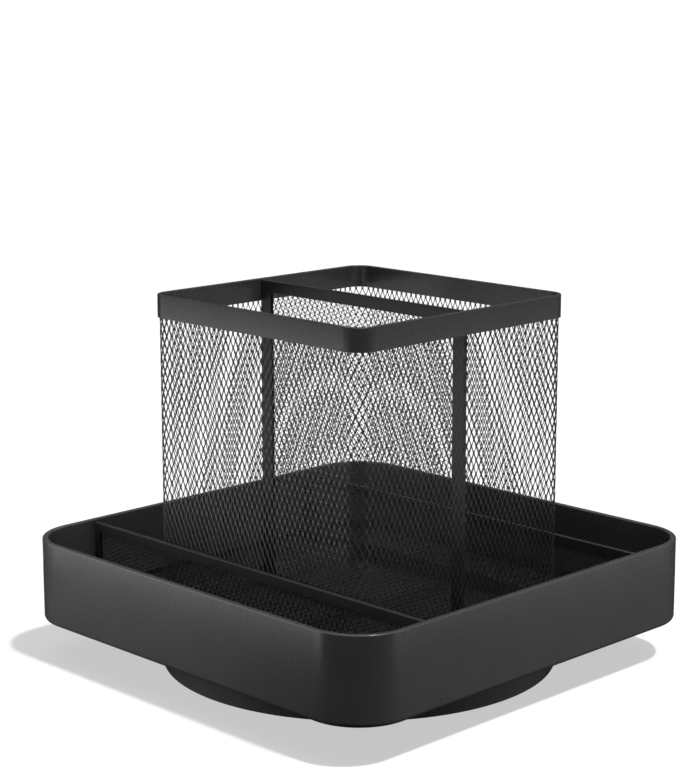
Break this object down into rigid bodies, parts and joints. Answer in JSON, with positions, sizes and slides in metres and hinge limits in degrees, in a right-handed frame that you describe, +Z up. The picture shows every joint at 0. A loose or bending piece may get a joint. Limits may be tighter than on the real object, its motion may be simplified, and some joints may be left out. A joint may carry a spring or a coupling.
{
  "type": "rotating desk caddy",
  "caption": "Square metal tray with a mesh pen cup in its middle, divided into bins, on a round ball-bearing turntable base with rubber pads.",
  "frame": {"origin": "centre of the foot pads' underside, on the turntable's spin axis", "axes": "+Z up along the spin axis; +X along the tray's two long dividers, so the front bin is on -Y"},
  "size_m": [0.165, 0.165, 0.1264],
  "materials": {
    "black_powder_coat": "satin black powder coat",
    "black_mesh": "black coated expanded metal mesh",
    "plain_black_plate": "matt black painted plate",
    "black_screw": "black coated screw heads",
    "zinc_plated_steel": "zinc plated",
    "rivet_steel": "plain bright steel",
    "polished_balls": "polished",
    "white_nylon": "natural nylon",
    "rubber_pad": "matt rubber"
  },
  "bodies": {
    "base": {"base_pan": "black_powder_coat", "base_posts": "zinc_plated_steel", "bottom_plate": "plain_black_plate", "bottom_plate_screws": "zinc_plated_steel", "foot_pads": "rubber_pad", "lower_race": "zinc_plated_steel", "lower_race_rivets": "rivet_steel", "pivot_rivet": "rivet_steel", "pivot_washer": "rivet_steel"},
    "ball_ring": {"ball_cage": "white_nylon", "bearing_balls": "polished_balls"},
    "organizer": {"upper_race": "zinc_plated_steel", "upper_race_rivets": "rivet_steel", "pivot_bushing": "white_nylon", "mount_plate": "black_powder_coat", "tray_floor": "black_powder_coat", "floor_screws": "black_screw", "floor_nuts": "zinc_plated_steel", "tray_band": "black_powder_coat", "front_divider_frame": "black_powder_coat", "front_divider_mesh": "black_mesh", "back_divider_frame": "black_powder_coat", "back_divider_mesh": "black_mesh", "cup_mesh": "black_mesh", "cup_rim": "black_powder_coat", "cup_foot_channel": "black_powder_coat", "cup_divider_frame": "black_powder_coat", "cup_divider_mesh": "black_mesh"}
  },
  "joints": [
    {"name": "turntable_spin", "type": "hinge", "parent": "base", "child": "organizer", "pos_m": [0, 0, 0.0101], "axis": [0, 0, 1], "continuous": true},
    {"name": "ball_ring_orbit", "type": "hinge", "parent": "base", "child": "ball_ring", "pos_m": [0, 0, 0.0101], "axis": [0, 0, 1], "continuous": true}
  ],
  "couplings": [
    {"joint": "ball_ring_orbit", "follows": "turntable_spin", "ratio": 0.5}
  ]
}
